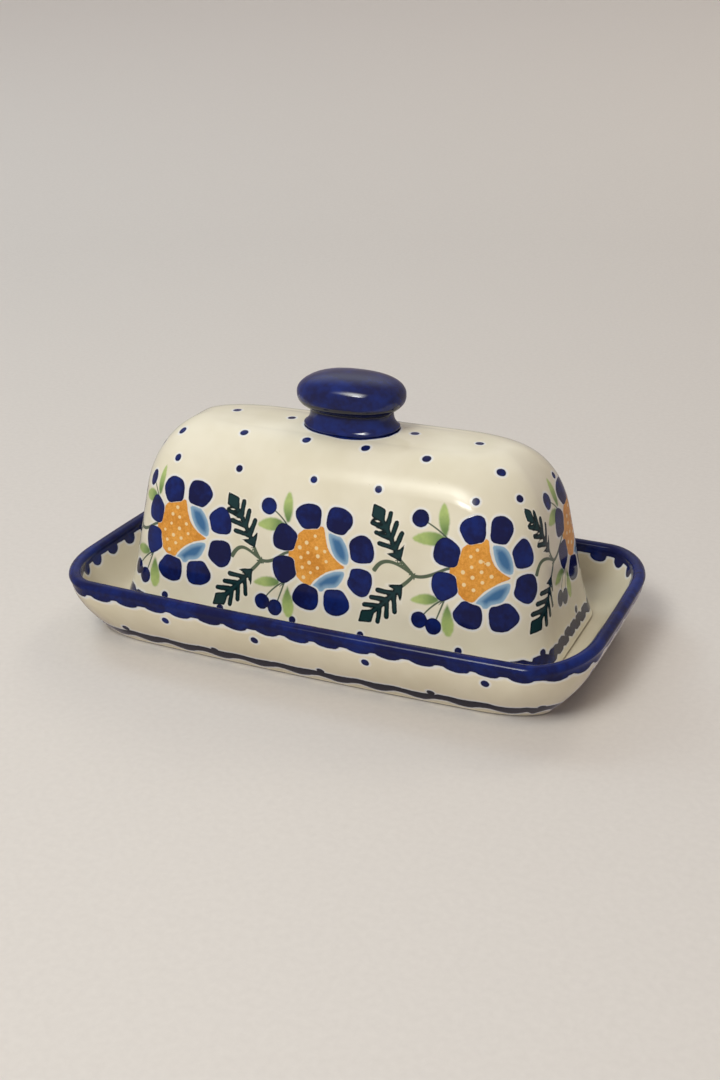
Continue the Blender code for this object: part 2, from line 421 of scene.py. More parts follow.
def stroke_distance(x, y, path, widths):
    """Distance to the edge of a stroke, and the share of its length at the nearest place.

    Its half width runs through the widths, spaced evenly along it.
    """
    shares = np.linspace(0, 1, len(path))
    half = np.interp(shares, np.linspace(0, 1, len(widths)), widths)
    nearest = np.full(x.shape, np.inf)
    along = np.zeros(x.shape)
    for i in range(len(path) - 1):
        gap, share = segment_distance(x, y, path[i], path[i + 1])
        gap -= between(half[i], half[i + 1], share)
        along = np.where(gap < nearest, between(shares[i], shares[i + 1], share), along)
        nearest = np.minimum(nearest, gap)
    return nearest, along


class Unrolled:
    """A grid of points laid flat: each one's place round and up it, and the painted layers."""

    def __init__(self, grid, reference):
        around, self.length = distance_round(grid, reference)
        self.grid = grid
        self.heights = distance_up(grid)
        self.around = around.ravel()
        self.up = np.repeat(self.heights, grid.shape[1])
        self.layers = {}
        self.stems = np.tile((FAR, FAR, 0.0), (len(self.around), 1))

    def apart(self, around, place):
        """How far round from a place these are, the short way, with a sign."""
        return (around - place + self.length / 2) % self.length - self.length / 2

    def seat(self, x, y, first=0, last=None):
        """The surface's point and normal nearest a place, among the rows from first to last."""
        row = int(np.argmin(np.abs(self.heights[first:last] - y))) + first
        around = self.around.reshape(self.grid.shape[:2])[row]
        return surface_at(self.grid, row, int(np.argmin(np.abs(self.apart(around, x)))))

    def near(self, spot, reach):
        """Which points lie within reach of a place, and where they are from it."""
        x = self.apart(self.around, spot[0])
        y = self.up - spot[1]
        which = np.nonzero((np.abs(x) < reach) & (np.abs(y) < reach))[0]
        return which, x[which], y[which]

    def near_path(self, spot, path):
        return self.near(spot, np.abs(path).max() + PATH_MARGIN)

    def layer(self, name):
        if name not in self.layers:
            self.layers[name] = np.full(len(self.around), FAR)
        return self.layers[name]

    def lay(self, name, which, distance):
        layer = self.layer(name)
        layer[which] = np.minimum(layer[which], distance)

    def stroke(self, name, spot, path, widths):
        which, x, y = self.near_path(spot, path)
        distance, along = stroke_distance(x, y, path, widths)
        self.lay(name, which, distance)
        return which, distance, along

    def thin_stroke(self, spot, path, widths):
        """A stroke too thin for the mesh.

        Keeps the signed distance off its middle line, which runs straight through zero, with the
        plain distance and the half width.
        """
        which, x, y = self.near_path(spot, path)
        distance, along = stroke_distance(x, y, path, (0.0, 0.0))
        half = np.interp(along, np.linspace(0, 1, len(widths)), widths)
        side = np.zeros(len(x))
        nearest = np.full(len(x), np.inf)
        for (ax, ay), (bx, by) in zip(path, path[1:]):
            gap = np.hypot(x - (ax + bx) / 2, y - (ay + by) / 2)
            offset = ((x - ax) * (by - ay) - (y - ay) * (bx - ax)) / math.hypot(bx - ax, by - ay)
            side = np.where(gap < nearest, offset, side)
            nearest = np.minimum(nearest, gap)
        kept = self.stems[which]
        closer = distance - half < kept[:, 1] - kept[:, 2]
        kept[closer] = np.stack([side, distance, half], axis=1)[closer]
        self.stems[which] = kept

    def beat(self, count, start, seed, wander):
        """For marks repeated round the wall, how far along each point is from a mark near it.

        Goes through the neighbours at each side, and gives each mark's own small shift up.
        """
        draw = np.random.default_rng(seed)
        shift = draw.uniform(-wander, wander, count)
        lift = draw.uniform(-1, 1, count)
        pitch = self.length / count
        place = (self.around - start) / pitch
        middle = np.floor(place).astype(int)
        for side in (-1, 0, 1, 2):
            mark = (middle + side) % count
            yield (place - middle - side) * pitch - shift[mark], lift[mark]


def distance_round(grid, reference):
    """Each point's place round a reference ring, in millimetres from the middle of the front."""
    count = len(reference)
    steps = np.linalg.norm(np.roll(reference, -1, axis=0) - reference, axis=1)
    run = np.concatenate([[0], np.cumsum(steps)[:-1]])
    length = steps.sum()
    tangent = np.roll(reference, -1, axis=0) - np.roll(reference, 1, axis=0)
    tangent /= np.linalg.norm(tangent, axis=1, keepdims=True)
    best = np.full(grid.shape[:2], np.inf)
    chosen = np.zeros(grid.shape[:2], int)
    columns = np.arange(count)
    for shift in range(-count // 16, count // 16 + 1):
        candidate = (columns + shift) % count
        gap = np.linalg.norm((grid - reference[candidate])[..., :2], axis=2)
        closer = gap < best
        best = np.where(closer, gap, best)
        chosen = np.where(closer, candidate, chosen)
    offset = ((grid - reference[chosen])[..., :2] * tangent[chosen][..., :2]).sum(axis=2)
    front = run[3 * count // 4]
    around = (run[chosen] + offset - front + length / 2) % length - length / 2
    return around / MM, length / MM


def distance_up(grid):
    """How far each ring is along the walk of sections, in millimetres, at the front's middle."""
    column = grid[:, 3 * grid.shape[1] // 4]
    steps = np.linalg.norm(np.diff(column, axis=0), axis=1)
    return np.concatenate([[0], np.cumsum(steps)]) / MM


def dot_places(points, dots):
    """Each point's place from its nearest dot, in dot radii: two directions in the surface, and
    straight through. Places in a triangle stay exact, so a dot is round however coarse the mesh.
    """
    found = np.full((len(points), 3), FAR)
    for (place, normal), radius in dots:
        across = np.cross(normal, (0.0, 0.0, 1.0))
        size = np.linalg.norm(across)
        across = across / size if size > 0.05 else np.array([1.0, 0.0, 0.0])
        upward = np.cross(normal, across)
        away = points - place
        through = np.linalg.norm(away, axis=1) / radius
        closer = through < found[:, 2]
        local = np.stack([away @ across / radius, away @ upward / radius, through], axis=1)
        found[closer] = local[closer]
    return found


# The flower garland, in millimetres from each flower's middle.

FLOWER_STEPS = (53.0, 57.5, 56.5, 60.0, 60.5, 60.0)
FIRST_FLOWER = -49.5
FLOWER_HEIGHTS = (32.6, 31.0, 34.6, 36.5, 33.0, 32.0, 34.0)
LEANS = (0.3, 3.6, 0.0, 1.2, 0.4, 1.8, 0.0)
PETAL = [
    (1.0, 10.5), (0.9, 16.2), (2.4, 18.4), (6.2, 18.6), (9.7, 16.9),
    (11.0, 14.4), (9.5, 11.6), (7.2, 9.1), (4.0, 9.9),
]
HEART = [
    (-13.2, 0.3), (-10.5, 5.0), (-8.4, 8.8), (-4.0, 11.0), (0.2, 11.6), (0.7, 9.6),
    (1.0, 7.0), (2.0, 3.8), (4.4, 0.9), (7.4, -0.8), (8.8, -1.4), (7.4, -2.0),
    (4.2, -2.9), (0.8, -4.6), (-2.4, -7.3), (-4.4, -10.2), (-8.6, -8.4), (-10.8, -4.6),
]
UPPER_CRESCENT = [
    (1.7, 11.2), (4.8, 10.2), (7.9, 7.4), (9.6, 3.6), (9.5, -0.6),
    (6.9, -0.2), (4.5, 1.6), (2.9, 4.4), (2.0, 7.8),
]
LOWER_CRESCENT = [
    (-4.0, -10.6), (-0.8, -11.4), (3.4, -10.4), (6.8, -7.8), (8.8, -3.0),
    (6.2, -2.9), (2.9, -4.0), (0.0, -5.9), (-2.4, -8.2),
]


def turned(x, y, angle):
    """The coordinates seen from a frame turned by this angle."""
    return x * math.cos(angle) + y * math.sin(angle), y * math.cos(angle) - x * math.sin(angle)


def paint_flower(wall, spot, draw):
    which, x, y = wall.near(spot, 23)
    petals = np.full(len(x), FAR)
    for side_x in (1, -1):
        for side_y in (1, -1):
            for swap in (False, True):
                shape = []
                for px, py in PETAL:
                    px += draw.uniform(-0.25, 0.25)
                    py += draw.uniform(-0.25, 0.25)
                    if swap:
                        px, py = py, px
                    shape.append((side_x * px, side_y * py))
                petals = np.minimum(petals, outline_distance(x, y, softened(shape)))
    wall.lay("cobalt", which, petals)
    ochre = np.maximum(outline_distance(x, y, softened(HEART, 1)), 0.1 - petals)
    wall.lay("ochre", which, ochre)
    upper = outline_distance(x, y, softened(UPPER_CRESCENT))
    lower = outline_distance(x, y, softened(LOWER_CRESCENT))
    sky = np.maximum(np.minimum(upper, lower), 0.5 - petals)
    wall.lay("sky", which, sky)
    return which, x, y, ochre


def paint_leaf(wall, spot, base, tip, bulge, half_width, fullest):
    middle = (between(base[0], tip[0], 0.5) + bulge[0], between(base[1], tip[1], 0.5) + bulge[1])
    path = curve([base, middle, tip], 9)
    shares = np.linspace(0, 1, 9)
    widths = half_width * np.sin(np.pi * shares**fullest) ** 0.75 + 0.08
    which, distance, along = wall.stroke("leaf", spot, path, widths)
    layer = wall.layer("leaf")[which]
    tips = wall.layer("leaf_tip")
    tips[which] = np.where(distance <= layer + 1e-9, along, tips[which])


def paint_berry(wall, spot, place, radius, join, bend):
    which, x, y = wall.near(spot, 34)
    wall.lay("cobalt", which, np.hypot(x - place[0], y - place[1]) - radius)
    middle = (between(place[0], join[0], 0.5) + bend[0], between(place[1], join[1], 0.5) + bend[1])
    wall.thin_stroke(spot, curve([place, middle, join]), (0.24, 0.3, 0.34))


def paint_sprig(wall, spot, base, tip, bend, draw):
    """A stiff fern: a midrib, three pairs of leaflets, two barbs at its foot and a lozenge tip."""
    length = math.hypot(tip[0] - base[0], tip[1] - base[1])
    ahead = ((tip[0] - base[0]) / length, (tip[1] - base[1]) / length)

    def place(sideways, forward):
        sideways += bend * math.sin(math.pi * forward / length)
        return (
            base[0] + ahead[1] * sideways + ahead[0] * forward,
            base[1] - ahead[0] * sideways + ahead[1] * forward,
        )

    spine = [place(0, length * share) for share in np.linspace(-0.02, 0.8, 9)]
    wall.stroke("fern", spot, spine, (0.6, 0.85, 0.9, 0.85))
    for side in (1, -1):
        for i in range(3):
            root = 3.7 + 3.45 * i + draw.uniform(-0.15, 0.15)
            reach = 4.5 - 0.45 * i + draw.uniform(-0.2, 0.2)
            leaflet = [place(side * 0.2, root), place(side * reach, root + 3.6 + 0.2 * i)]
            wall.stroke("fern", spot, leaflet, (0.85, 0.92, 0.86))
    which, x, y = wall.near(spot, 48)
    lozenge = [(0, 0.7), (2.5, -2.6), (0.7, -5.4), (-0.7, -5.4), (-2.5, -2.6)]
    tip_outline = [place(px, length + py) for px, py in lozenge]
    wall.lay("fern", which, outline_distance(x, y, tip_outline) - 0.2)
    for side in (1, -1):
        barb = [(-0.4, -0.6), (0.6, -0.4), (3.9, 3.7), (1.0, 2.6), (0, 3.4)]
        outline = [place(side * px, py) for px, py in barb]
        wall.lay("fern", which, outline_distance(x, y, outline))


def paint_between(wall, left, right, height, lean, draw):
    """The forked stem between two flowers with its two ferns, then the berries and leaves that
    hug the right one. The upper ones stand back from that flower by the lean.
    """
    pitch = right - left
    from_left = (left, height)
    from_right = (right, height)
    fork = (0.568 * pitch, -3.2)
    up_foot = (0.515 * pitch - 0.6 * lean, 1.6)
    down_foot = (0.495 * pitch, -7.6)
    paint_sprig(wall, from_left, up_foot, (up_foot[0] - 9.9, 17.8), 0.5, draw)
    paint_sprig(wall, from_left, down_foot, (down_foot[0] - 13.6, -21.3), -0.5, draw)
    onward = [(fork[0] + 4.6, -4.1), (pitch - 15.4, 0.4), (pitch - 13.0, 1.1)]
    back = [(fork[0] - 5.5, 0.2), (22.0, 2.2), (19.2, -2.9)]
    for controls, widths in (
        (onward, (0.62, 0.62, 0.55, 0.5)),
        ([(fork[0] - 1.6, -1.4), up_foot], (0.55, 0.5)),
        ([(fork[0] - 1.6, -5.4), down_foot], (0.6, 0.7)),
        (back, (0.45, 0.55, 0.65, 0.8)),
    ):
        wall.thin_stroke(from_left, curve([fork, *controls], 18), widths)
    half = 0.5 * lean
    for place, radius, join, bend in (
        ((-20.3 - lean, 16.0), 2.9, (-13.0, 9.9), (1.4, 0.6)),
        ((-22.0, -17.6), 2.8, (-14.2, -9.6), (-0.2, 1.6)),
        ((-17.0, -19.0), 2.8, (-13.8, -9.6), (0.3, 0.6)),
    ):
        paint_berry(wall, from_right, place, radius, join, bend)
    for base, tip, bulge, half_width, fullest in (
        ((-12.8 - half, 11.0), (-13.2 - lean, 22.2), (-0.4, 0), 2.0, 1.0),
        ((-13.9, 10.2), (-24.6 - half, 9.0), (0.2, 0.6), 2.5, 0.9),
        ((-15.4, -9.9), (-25.8, -11.6), (0.2, 0.7), 2.0, 0.9),
        ((-12.6, -10.2), (-11.4, -21.8), (-0.6, 0), 2.4, 1.5),
    ):
        paint_leaf(wall, from_right, base, tip, bulge, half_width, fullest)


def flower_places():
    places = [FIRST_FLOWER]
    for step in FLOWER_STEPS:
        places.append(places[-1] + step)
    return places


def paint_chain(wall):
    """The plaited band along the lid's foot: slanting strokes, each over the end of the last."""
    everywhere = np.arange(len(wall.around))
    count = round(wall.length / CHAIN_PITCH)
    for x, lift in wall.beat(count, 1.0, 11, 0.3):
        y = wall.up - CHAIN_HEIGHT - 0.2 * lift
        path = [(-4.2, 1.35), (-1.4, 0.75), (1.4, -0.75), (4.2, -1.35)]
        distance, _ = stroke_distance(x, y, path, (0.9, 1.6, 1.6, 0.9))
        wall.lay("cobalt", everywhere, distance)


def nearest_on(grid, x, y, rows):
    """The grid's point and surface normal nearest above a place on the plan."""
    part = grid[rows]
    away = np.hypot(part[..., 0] - x, part[..., 1] - y)
    row, column = np.unravel_index(np.argmin(away), part.shape[:2])
    return surface_at(grid, row + rows.start, column)


def surface_at(grid, row, column):
    count = grid.shape[1]
    along = grid[row, (column + 1) % count] - grid[row, column - 1]
    upward = grid[row + 1, column] - grid[row - 1, column]
    normal = np.cross(along, upward)
    return grid[row, column], normal / np.linalg.norm(normal)


def make_lid():
    inside = lid_skin(LID_WALL, wall_count=9, shoulder_count=12, crown_count=6)[::-1]
    edge = lid_edge_rings()
    outside = lid_skin(0, wall_count=62, shoulder_count=46, crown_count=14)
    low = (0, 0, LID_TOP - LID_WALL)
    high = (0, 0, LID_TOP)
    lid, grid = skin("lid_glazed", inside + edge + outside, low, high, 0.12 * MM, 3)
    first = len(inside) + len(edge)
    wall = Unrolled(grid[first:], grid[first + LID_REFERENCE_ROW])
    draw = random.Random(7)
    places = flower_places()
    heights = FLOWER_HEIGHTS + FLOWER_HEIGHTS[:1]
    ends = places[1:] + [places[0] + wall.length]
    for left, right, height, lean in zip(places, ends, heights[1:], LEANS):
        paint_between(wall, left, right, height - 0.6, lean, draw)
    specks = []
    for place, height in zip(places, FLOWER_HEIGHTS):
        specks += ochre_specks(wall, *paint_flower(wall, (place, height), draw), draw)
    paint_chain(wall)
    paint_knob_seat(wall)
    dots = lid_dots(wall, places, draw)
    points = grid.reshape(-1, 3)
    store(lid, "dots", dot_places(points, dots))
    store(lid, "specks", dot_places(points, specks))
    unpainted = len(points) - len(wall.around)
    for name in ("cobalt", "ochre", "sky", "leaf", "leaf_tip", "fern"):
        store(lid, name, np.concatenate([np.full(unpainted, FAR), wall.layer(name)]))
    no_stems = np.tile((FAR, FAR, 0.0), (unpainted, 1))
    store(lid, "stems", np.concatenate([no_stems, wall.stems]))
    return lid


def ochre_specks(wall, which, x, y, ochre, draw):
    """Cream dots scattered over a flower's ochre heart, on a loose triangular net."""
    found = []
    pitch = 3.55
    for row in range(-4, 5):
        for column in range(-4, 5):
            px = (column + 0.5 * (row % 2)) * pitch + draw.uniform(-0.3, 0.3) - 2.0
            py = row * pitch * 0.87 + draw.uniform(-0.3, 0.3)
            px, py = turned(px, py, 0.35)
            at = np.argmin(np.hypot(x - px, y - py))
            if math.hypot(x[at] - px, y[at] - py) < 0.6 and ochre[at] < -1.6:
                seat = surface_at(wall.grid, *divmod(int(which[at]), wall.grid.shape[1]))
                found.append((seat, draw.uniform(0.55, 0.74) * MM))
    return found


def paint_knob_seat(wall):
    """Cobalt that runs a little way out from under the knob, with a wavy edge."""
    x = wall.grid[..., 0].ravel() / MM
    y = wall.grid[..., 1].ravel() / MM
    power = KNOB_SQUARENESS
    level_x = (np.abs(x) / (KNOB_FOOT_HALF[0] / MM)) ** power
    level_y = (np.abs(y) / (KNOB_FOOT_HALF[1] / MM)) ** power
    level = (level_x + level_y) ** (1 / power)
    size = np.hypot(x, y)
    angle = np.arctan2(y, x)
    edge = 0.5 + 0.45 * np.cos(2 * angle + 2.2) + 0.2 * np.sin(5 * angle + 2.0)
    distance = np.where(level > 0.2, size * (1 - 1 / np.maximum(level, 0.2)), -FAR) - edge
    distance = np.where(wall.up > wall.up.max() - 40, distance, FAR)
    wall.lay("cobalt", np.arange(len(distance)), distance)


def lid_dots(wall, places, draw):
    """The scattered blue dots: two rows round the wall, and a loose net over the crown."""
    found = []
    for place in places:
        for x, y in ((-9.0, 8.6), (16.0, 7.6), (-6.2, 57.2), (18.6, 57.4)):
            seat = wall.seat(place + x + draw.uniform(-1.5, 1.5), y + draw.uniform(-0.7, 0.7))
            found.append((seat, draw.uniform(1.2, 1.35) * MM))
    rows = len(wall.grid)
    crown = slice(2 * rows // 3, rows - 1)
    for row, y in enumerate((-14.6, 1.0, 14.8)):
        for x in np.arange(-58, 60, 23.2):
            px = x + (row % 2) * 11.0 + draw.uniform(-2, 2)
            py = y + draw.uniform(-1.2, 1.2)
            clear_of_knob = abs(px) > 19.5 or abs(py) > 13.0
            if clear_of_knob and abs(px) < 62:
                seat = nearest_on(wall.grid, px * MM, py * MM, crown)
                found.append((seat, draw.uniform(1.4, 1.6) * MM))
    return found


def eased(rings, crease):
    """Glaze fills a crease: the rings either side of it are drawn towards one another."""
    rings = list(rings)
    for spread in (3, 3, 2, 2, 2):
        first = crease - spread
        last = crease + spread + 1
        blended = [(rings[i - 1] + 2 * rings[i] + rings[i + 1]) / 4 for i in range(first, last)]
        rings[first:last] = blended
    return rings


def make_tray():
    underside = tray_underside_rings()
    outside = tray_wall_rings(34)
    bead = tray_bead_rings(24)
    inside = tray_inside_rings([*np.linspace(0.0, 0.42, 18), *np.linspace(0.48, 1, 9)])
    rings = underside + outside + bead + inside + tray_floor_rings()
    bead_first = len(underside) + len(outside)
    bead_last = bead_first + len(bead) - 1
    rings = eased(eased(rings, bead_first), bead_last)
    tray, grid = skin("tray_glazed", rings, (0, 0, FOOT_RECESS), (0, 0, FLOOR_HEIGHT))
    wall = Unrolled(grid, grid[bead_first])
    heights = wall.heights
    is_outside = wall.up < heights[(bead_first + bead_last) // 2]
    outer_drop = np.where(is_outside, heights[bead_first] - wall.up, -FAR)
    inner_drop = np.where(is_outside, -FAR, wall.up - heights[bead_last])
    everywhere = np.arange(len(wall.around))
    band = np.maximum(outer_drop - RIM_BAND[0], inner_drop - RIM_BAND[1])
    wall.lay("cobalt", everywhere, band)
    count = round(wall.length / SCALLOP_PITCH)
    for drop, start, seed, roundness in ((outer_drop, 3.0, 21, 0.1), (inner_drop, 6.0, 22, 0.9)):
        here = np.nonzero(drop > -0.5)[0]
        for x, lift in wall.beat(count, start, seed, 0.7):
            scallop = scallop_distance(x[here], drop[here], lift[here], roundness)
            wall.lay("cobalt", here, scallop)
    count = round(wall.length / WAVE_PITCH)
    level = grid[..., 2].ravel() / MM
    for x, lift in wall.beat(count, 0.0, 23, 0.6):
        swell = np.cos(2 * math.pi * x * count / wall.length)
        height = level - WAVE_HEIGHT + 0.5 * swell - 0.15 * lift
        thick = WAVE_HALF_WIDTH + 0.3 * swell + 0.12 * lift
        near = np.abs(x) < 0.6 * wall.length / count
        wave = np.where(near & is_outside, np.abs(height) - thick, FAR)
        wall.lay("cobalt", everywhere, wave)
    store(tray, "cobalt", wall.layer("cobalt"))
    # How far down the inside each point lies, kept for the painted shade in the tray.
    store(tray, "inner_drop", np.maximum(inner_drop, 0))
    dots = tray_dots(wall, len(underside), bead_first)
    store(tray, "dots", dot_places(grid.reshape(-1, 3), dots))
    return tray


def scallop_distance(x, drop, lift, roundness):
    """Drops that hang from the cobalt band: long and shallow at roundness 0, round at 1."""
    drop = drop - between(0.75, 0.9, roundness) - 0.08 * x * (1 - roundness) - 0.2 * lift
    half_length = between(4.7, 3.1, roundness)
    half_depth = between(1.75, 2.7, roundness)
    return (np.hypot(x / half_length, drop / half_depth) - 1) * half_depth


def tray_dots(wall, wall_first, bead_first):
    """Two rows of dots on the tray's wall, the lower ones between the upper."""
    draw = random.Random(31)
    found = []
    count = round(wall.length / 39)
    for i in range(count):
        for offset, drop in ((-10.5, 5.6), (9.5, 15.9)):
            x = offset + i * wall.length / count + draw.uniform(-2.5, 2.5)
            y = wall.heights[bead_first] - drop + draw.uniform(-0.6, 0.6)
            found.append((wall.seat(x, y, wall_first, bead_first), TRAY_DOT * MM))
    return found


def make_knob(lid):
    """The knob's skin. Its lip follows the lid's crown, and the cap under it is sunk in that."""
    tree = BVHTree.FromObject(lid, bpy.context.evaluated_depsgraph_get())

    def seated(half_x, half_y, rise):
        ring = oval_ring(half_x, half_y, 0)
        for point in ring:
            hit = tree.ray_cast(Vector((point[0], point[1], LID_TOP + 5 * MM)), Vector((0, 0, -1)))
            point[2] = hit[0].z + rise
        return ring

    rings = []
    for share in (0.1, 0.35, 0.6, 0.85):
        half_x, half_y = (half * share for half in KNOB_FOOT_HALF)
        rings.append(seated(half_x, half_y, -0.15 * MM))
    for turn in np.linspace(-1.25, 0.5, 8):
        inwards = 0.75 * MM * (1 - math.cos(turn))
        rise = KNOB_FOOT_LIP * (0.55 + 0.58 * math.sin(turn))
        rings.append(seated(*inset(KNOB_FOOT_HALF, inwards), rise))
    lip = rings[-1]
    neck = oval_ring(*NECK_HALF, NECK_HEIGHT)
    for share in np.linspace(0, 1, 16)[1:]:
        swell = (1 - share) ** 3.2
        ring = between(neck, lip, swell)
        ring[:, 2] = between(lip[:, 2], NECK_HEIGHT, share)
        rings.append(ring)
    crease = len(rings) - 1
    for angle in np.linspace(HEAD_UNDERSIDE, math.pi / 2, 46)[:-1]:
        fullness = HEAD_FULLNESS[int(angle > 0)]
        reach = math.cos(angle) ** (2 / fullness)
        rise = abs(math.sin(angle)) ** (2 / fullness)
        depth = HEAD_HALF_HEIGHT if angle > 0 else -HEAD_DEPTH_BELOW
        height = HEAD_CENTRE + depth * rise
        rings.append(oval_ring(HEAD_HALF[0] * reach, HEAD_HALF[1] * reach, height))
    low = (0, 0, rings[0][0, 2])
    high = (0, 0, HEAD_CENTRE + HEAD_HALF_HEIGHT)
    knob, grid = skin("knob_glazed", rings, low, high, 0.08 * MM, 5)
    heights = distance_up(grid)
    # The height above the head's crease, kept for the painted shade under the head.
    store(knob, "above_crease", np.repeat(heights - heights[crease], KNOB_COUNT))
    return knob


# Glaze materials.


class Shading:
    """The nodes of a material or a light, added from left to right."""

    def __init__(self, owner):
        owner.use_nodes = True
        self.owner = owner
        self.tree = owner.node_tree
        self.placed = 0
        self.coordinates = None

    def place(self):
        """The place on the piece, in metres."""
        if self.coordinates is None:
            self.coordinates = self.node("ShaderNodeTexCoord").outputs["Object"]
        return self.coordinates

    def node(self, kind, **settings):
        made = self.tree.nodes.new(kind)
        made.location = (-1800 + 220 * (self.placed // 6), 500 - 220 * (self.placed % 6))
        self.placed += 1
        for name, value in settings.items():
            setattr(made, name, value)
        return made

    def feed(self, socket, value):
        if isinstance(value, bpy.types.NodeSocket):
            self.tree.links.new(value, socket)
        elif isinstance(value, tuple) and len(value) == 3 and socket.type == "RGBA":
            socket.default_value = (*value, 1.0)
        else:
            socket.default_value = value

    def math(self, operation, first, second=0.0):
        made = self.node("ShaderNodeMath", operation=operation)
        self.feed(made.inputs[0], first)
        self.feed(made.inputs[1], second)
        return made.outputs[0]

    def add(self, first, second):
        return self.math("ADD", first, second)

    def subtract(self, first, second):
        return self.math("SUBTRACT", first, second)

    def times(self, first, second):
        return self.math("MULTIPLY", first, second)

    def least(self, first, second):
        return self.math("MINIMUM", first, second)

    def mix(self, factor, first, second):
        made = self.node("ShaderNodeMix", data_type="RGBA")
        self.feed(made.inputs["Factor"], factor)
        self.feed(made.inputs[6], first)
        self.feed(made.inputs[7], second)
        return made.outputs[2]

    def field(self, name):
        return self.node("ShaderNodeAttribute", attribute_name=name).outputs["Fac"]

    def noise(self, scale, detail=2.0, roughness=0.5):
        made = self.node("ShaderNodeTexNoise")
        self.feed(made.inputs["Vector"], self.place())
        made.inputs["Scale"].default_value = scale
        made.inputs["Detail"].default_value = detail
        made.inputs["Roughness"].default_value = roughness
        return made.outputs["Fac"]

    def parts(self, vector):
        made = self.node("ShaderNodeSeparateXYZ")
        self.feed(made.inputs[0], vector)
        return made.outputs

    def ramp(self, value, start, end, high=1.0, low=0.0, kind="SMOOTHSTEP"):
        """Runs from low at start to high at end, smoothly unless kind is LINEAR."""
        made = self.node("ShaderNodeMapRange", interpolation_type=kind)
        self.feed(made.inputs["Value"], value)
        made.inputs["From Min"].default_value = min(start, end)
        made.inputs["From Max"].default_value = max(start, end)
        made.inputs["To Min"].default_value = low if start < end else high
        made.inputs["To Max"].default_value = high if start < end else low
        return made.outputs["Result"]

    def blend(self, colour, tone, value, start, end, strength=1.0):
        """The colour, going over to the tone as the value runs from start to end."""
        return self.mix(self.ramp(value, start, end, strength), colour, tone)

    def dots(self, name, reach):
        """Distance from the nearest dot's middle, in its own radii. Nothing past reach counts."""
        attribute = self.node("ShaderNodeAttribute", attribute_name=name)
        across, upward, through = self.parts(attribute.outputs["Vector"])
        square = self.add(self.times(across, across), self.times(upward, upward))
        beyond = self.math("MAXIMUM", self.subtract(through, reach), 0.0)
        return self.add(self.math("SQRT", square), self.times(beyond, 8.0))

    def thin_strokes(self, name):
        """Distance from the edge of the nearest thin stroke, in millimetres."""
        attribute = self.node("ShaderNodeAttribute", attribute_name=name)
        side, distance, half_width = self.parts(attribute.outputs["Vector"])
        reach = self.subtract(distance, 0.4)
        across = self.math("MAXIMUM", self.math("ABSOLUTE", side), reach)
        return self.subtract(across, half_width)


def start_material(name):
    """A Principled material's nodes and the sockets of its shader."""
    shading = Shading(bpy.data.materials.new(name))
    shader = shading.tree.nodes["Principled BSDF"]
    shader.location = (1400, 0)
    shading.tree.nodes["Material Output"].location = (1700, 0)
    return shading, shader.inputs


def start_glaze(name, gloss):
    glaze, sockets = start_material(name)
    sockets["IOR"].default_value = 1.5
    sockets["Specular IOR Level"].default_value = gloss
    return glaze, sockets


CREAM = (0.80, 0.76, 0.635)
CREAM_DEEP = (0.73, 0.685, 0.545)
TRAY_CREAM = (0.77, 0.715, 0.57)
TRAY_CREAM_DEEP = (0.70, 0.64, 0.485)
# A darker cream for the painted shade inside the tray.
TRAY_CREAM_PAINTED_SHADE = (0.56, 0.505, 0.385)
IRON_SPECK = (0.36, 0.27, 0.17)
HALO_WHITE = (0.86, 0.84, 0.79)
HALO_BLUE = (0.62, 0.68, 0.84)
COBALT = (0.0075, 0.010, 0.062)
COBALT_DARK = (0.005, 0.005, 0.030)
COBALT_BRIGHT = (0.008, 0.023, 0.165)
# Near-black cobalt for painted shade, low on the tray and under the knob's head.
COBALT_PAINTED_SHADE = (0.002, 0.0025, 0.014)
RAW_EDGE = (0.20, 0.115, 0.06)
RAW_CLAY = (0.60, 0.50, 0.38)
# The foot's dark edge, with the contact shadow against the table painted into it.
FOOT_EDGE_AND_SHADOW = (0.035, 0.022, 0.014)
LEAF_FOOT = (0.085, 0.20, 0.035)
LEAF_TIP = (0.40, 0.53, 0.16)
LEAF_GRAIN = (0.20, 0.33, 0.10)
STEM = (0.062, 0.10, 0.060)
FERN = (0.004, 0.012, 0.014)
FERN_THICK = (0.012, 0.040, 0.045)
SKY_EDGE = (0.26, 0.42, 0.58)
SKY_THICK = (0.055, 0.16, 0.34)
OCHRE = (0.60, 0.235, 0.032)
OCHRE_BRIGHT = (0.82, 0.39, 0.075)
OCHRE_SPECK = (0.86, 0.66, 0.36)


def cream_body(glaze, shallow, deep):
    """Warm cream glaze with slow cloudiness and a few faint iron specks."""
    colour = glaze.blend(deep, shallow, glaze.noise(38, 3.0, 0.6), 0.3, 0.72)
    return glaze.blend(colour, IRON_SPECK, glaze.noise(900, 2.0, 0.7), 0.735, 0.79, 0.30)


def cobalt_colour(glaze):
    """Cobalt that flares brighter where the glaze lies thick."""
    cloud = glaze.times(glaze.noise(70, 3.0, 0.6), 0.7)
    streak = glaze.times(glaze.noise(420, 2.0, 0.6), 0.3)
    return glaze.blend(COBALT, COBALT_BRIGHT, glaze.add(cloud, streak), 0.40, 0.68)


def edged_cobalt(glaze, field):
    """Cobalt that pools darker at a painted shape's edge."""
    return glaze.blend(cobalt_colour(glaze), COBALT_DARK, field, -0.7, 0.05, 0.75)


def halo(glaze, field, colour):
    """The pale fringe where cobalt bleeds into the cream."""
    colour = glaze.blend(colour, HALO_WHITE, field, 1.3, 0.4, 0.55)
    return glaze.blend(colour, HALO_BLUE, field, 0.75, 0.1, 0.55)


